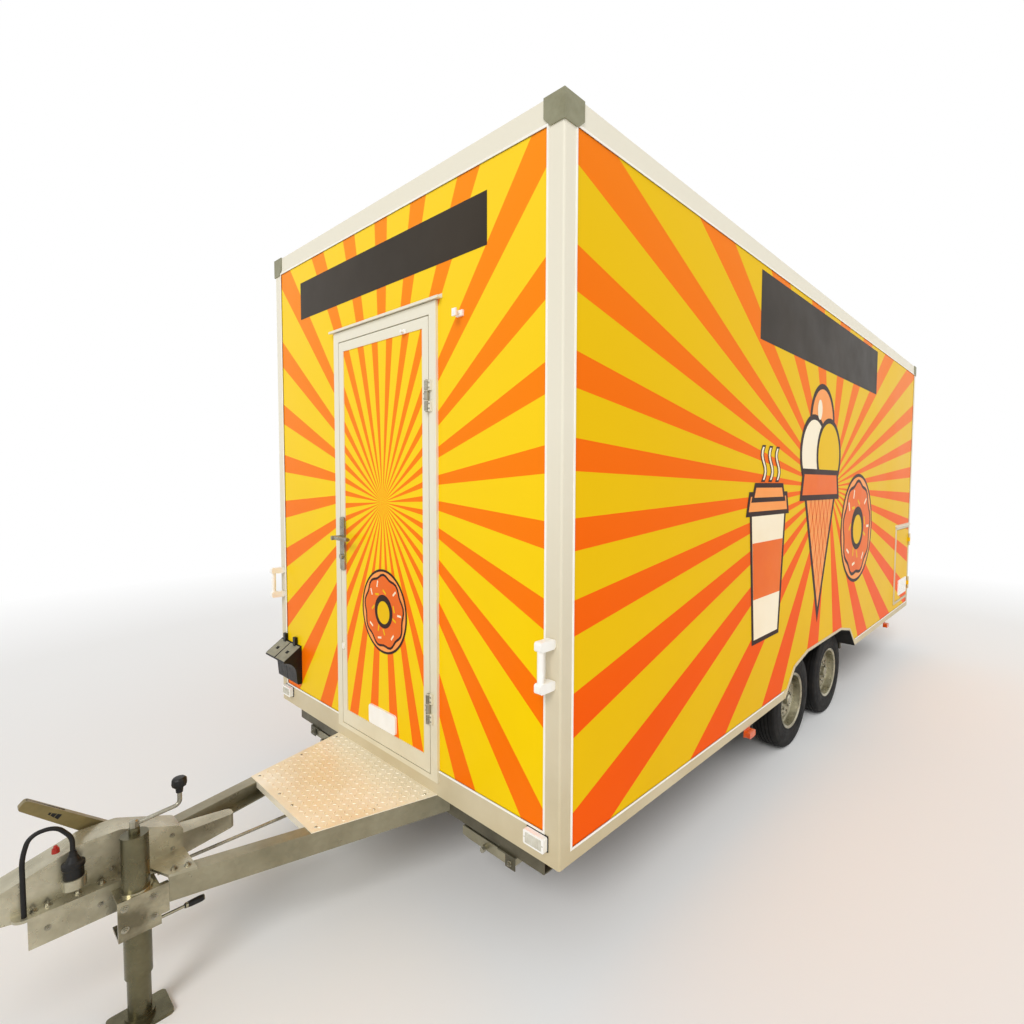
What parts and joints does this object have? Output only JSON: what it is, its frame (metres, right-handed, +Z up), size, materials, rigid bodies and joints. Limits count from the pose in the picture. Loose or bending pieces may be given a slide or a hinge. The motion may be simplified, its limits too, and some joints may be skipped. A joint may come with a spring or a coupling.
{
  "type": "concession trailer",
  "caption": "Two-axle concession trailer with sandwich walls, front door, serving flap, gas locker, drawbar with overrun coupling, parking jack and corner steadies.",
  "frame": {"origin": "centre of the whole part's footprint, on the ground under the tyres and the jack's foot", "axes": "+X to the front along the drawbar, +Y to the left, +Z up"},
  "size_m": [6.738, 2.252, 2.891],
  "materials": {
    "painted_panel": "gloss",
    "white_panel": "satin",
    "cream_profile": "satin",
    "floor_board": "matte",
    "dark_board": "matte",
    "galvanised": "satin",
    "coated_steel": "satin",
    "jack_steel": "satin",
    "zinc_steel": "satin",
    "tread_plate": "satin",
    "silver_wheel": "satin",
    "tyre_rubber": "matte",
    "bellows_rubber": "matte",
    "cable_rubber": "matte",
    "black_plastic": "matte",
    "white_plastic": "gloss",
    "grey_plastic": "matte",
    "clear_lens": "gloss",
    "amber_lens": "gloss",
    "red_lens": "gloss"
  },
  "bodies": {
    "trailer": {"edge_profiles": "cream_profile", "corner_caps": "grey_plastic", "floor_panel": "floor_board", "roof_panel": "white_panel", "wall_front": "painted_panel", "wall_rear": "painted_panel", "wall_left": "painted_panel", "wall_right": "painted_panel", "wheel_boxes": "dark_board", "door_frame": "cream_profile", "drip_rails": "cream_profile", "locker_frame": "cream_profile", "locker_box": "dark_board", "hatch_frame": "cream_profile", "drawbar_arms": "galvanised", "chassis_rails": "galvanised", "cross_members": "galvanised", "step_deck": "tread_plate", "axles": "galvanised", "overrun_housing": "galvanised", "brake_linkage": "galvanised", "bellows": "bellows_rubber", "coupling_head": "coated_steel", "jack_tube": "jack_steel", "jack_clamp": "galvanised", "steady_brackets": "galvanised", "front_lamps": "clear_lens", "side_lamps": "amber_lens", "rear_lamps": "red_lens", "plate_holder": "white_plastic", "grab_handles": "white_plastic", "wheel_chocks": "black_plastic", "plug": "black_plastic", "plug_cable": "cable_rubber"},
    "wheel_front_left": {"tyre_front_left": "tyre_rubber", "rim_front_left": "silver_wheel"},
    "wheel_front_right": {"tyre_front_right": "tyre_rubber", "rim_front_right": "silver_wheel"},
    "wheel_rear_left": {"tyre_rear_left": "tyre_rubber", "rim_rear_left": "silver_wheel"},
    "wheel_rear_right": {"tyre_rear_right": "tyre_rubber", "rim_rear_right": "silver_wheel"},
    "front_door": {"door_leaf": "cream_profile", "door_panel": "painted_panel", "door_handle": "black_plastic", "door_vent": "white_plastic"},
    "locker_door": {"locker_leaf": "painted_panel", "locker_fittings": "white_plastic"},
    "serving_flap": {"hatch_flap": "painted_panel"},
    "jack_foot": {"jack_leg": "jack_steel"},
    "jack_handle": {"jack_crank": "zinc_steel"},
    "handbrake": {"handbrake_lever": "coated_steel"},
    "steady_front_left_leg": {"steady_front_left": "galvanised"},
    "steady_front_right_leg": {"steady_front_right": "galvanised"},
    "steady_tail_left_leg": {"steady_tail_left": "galvanised"},
    "steady_tail_right_leg": {"steady_tail_right": "galvanised"}
  },
  "joints": [
    {"name": "wheel_front_left_spin", "type": "hinge", "parent": "trailer", "child": "wheel_front_left", "pos_m": [-0.381, 0.9375, 0.297], "axis": [0, 1, 0], "continuous": true},
    {"name": "wheel_front_right_spin", "type": "hinge", "parent": "trailer", "child": "wheel_front_right", "pos_m": [-0.381, -0.9375, 0.297], "axis": [0, 1, 0], "continuous": true},
    {"name": "wheel_rear_left_spin", "type": "hinge", "parent": "trailer", "child": "wheel_rear_left", "pos_m": [-1.086, 0.9375, 0.297], "axis": [0, 1, 0], "continuous": true},
    {"name": "wheel_rear_right_spin", "type": "hinge", "parent": "trailer", "child": "wheel_rear_right", "pos_m": [-1.086, -0.9375, 0.297], "axis": [0, 1, 0], "continuous": true},
    {"name": "front_door_hinge", "type": "hinge", "parent": "trailer", "child": "front_door", "pos_m": [1.886, 0.3865, 1.4], "axis": [0, 0, 1], "range_deg": [0, 165]},
    {"name": "locker_door_hinge", "type": "hinge", "parent": "trailer", "child": "locker_door", "pos_m": [-3.2435, 1.117, 0.9], "axis": [0, 0, 1], "range_deg": [0, 120]},
    {"name": "serving_flap_hinge", "type": "hinge", "parent": "trailer", "child": "serving_flap", "pos_m": [-0.511, -1.117, 2.6595], "axis": [-1, 0, 0], "range_deg": [0, 90]},
    {"name": "jack_slide", "type": "slide", "parent": "trailer", "child": "jack_foot", "axis": [0, 0, 1], "range_m": [-0.1, 0.11]},
    {"name": "jack_crank_turn", "type": "hinge", "parent": "trailer", "child": "jack_handle", "pos_m": [2.757, 0.134, 0.62], "axis": [0, 0, 1], "continuous": true},
    {"name": "handbrake_pivot", "type": "hinge", "parent": "trailer", "child": "handbrake", "pos_m": [2.737, -0.068, 0.496], "axis": [0, -1, 0], "range_deg": [-30, 55]},
    {"name": "steady_front_left_fold", "type": "hinge", "parent": "trailer", "child": "steady_front_left_leg", "pos_m": [1.7965, 0.812, 0.312], "axis": [1, 0, 0], "range_deg": [0, 88]},
    {"name": "steady_front_right_fold", "type": "hinge", "parent": "trailer", "child": "steady_front_right_leg", "pos_m": [1.7965, -0.812, 0.312], "axis": [-1, 0, 0], "range_deg": [0, 88]},
    {"name": "steady_tail_left_fold", "type": "hinge", "parent": "trailer", "child": "steady_tail_left_leg", "pos_m": [-3.1985, 0.812, 0.312], "axis": [1, 0, 0], "range_deg": [0, 88]},
    {"name": "steady_tail_right_fold", "type": "hinge", "parent": "trailer", "child": "steady_tail_right_leg", "pos_m": [-3.1985, -0.812, 0.312], "axis": [-1, 0, 0], "range_deg": [0, 88]}
  ]
}
